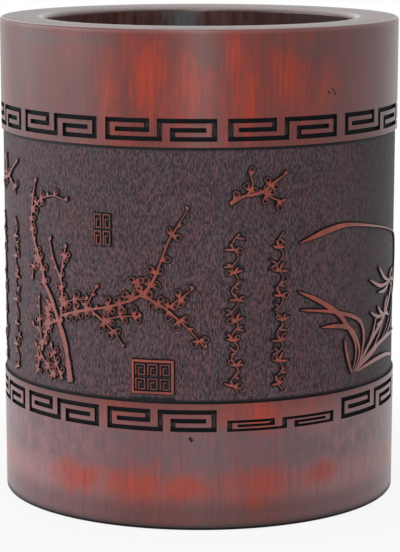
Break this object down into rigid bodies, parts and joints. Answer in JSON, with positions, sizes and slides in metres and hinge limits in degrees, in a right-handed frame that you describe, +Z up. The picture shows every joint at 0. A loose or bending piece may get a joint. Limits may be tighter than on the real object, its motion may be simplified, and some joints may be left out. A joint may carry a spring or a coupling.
{
  "type": "pencil holder",
  "caption": "Round carved bamboo pencil holder: a thick upright wall with two key-fret bands and a sunk relief panel, closed by a floor disc let into its foot.",
  "frame": {"origin": "centre of the plane that the foot stands on", "axes": "+Z up along the wall's axis; -Y is the side that the picture faces"},
  "size_m": [0.11, 0.11, 0.132],
  "materials": {
    "stained_bamboo": "satin red-brown stain under clear lacquer",
    "floor_wood": "dark stained wood, thin lacquer",
    "carved_ground": "dark stained engraved ground",
    "groove_ink": "black stained groove"
  },
  "bodies": {
    "root": {"carved_tube": "stained_bamboo", "base_disc": "floor_wood"}
  },
  "joints": []
}
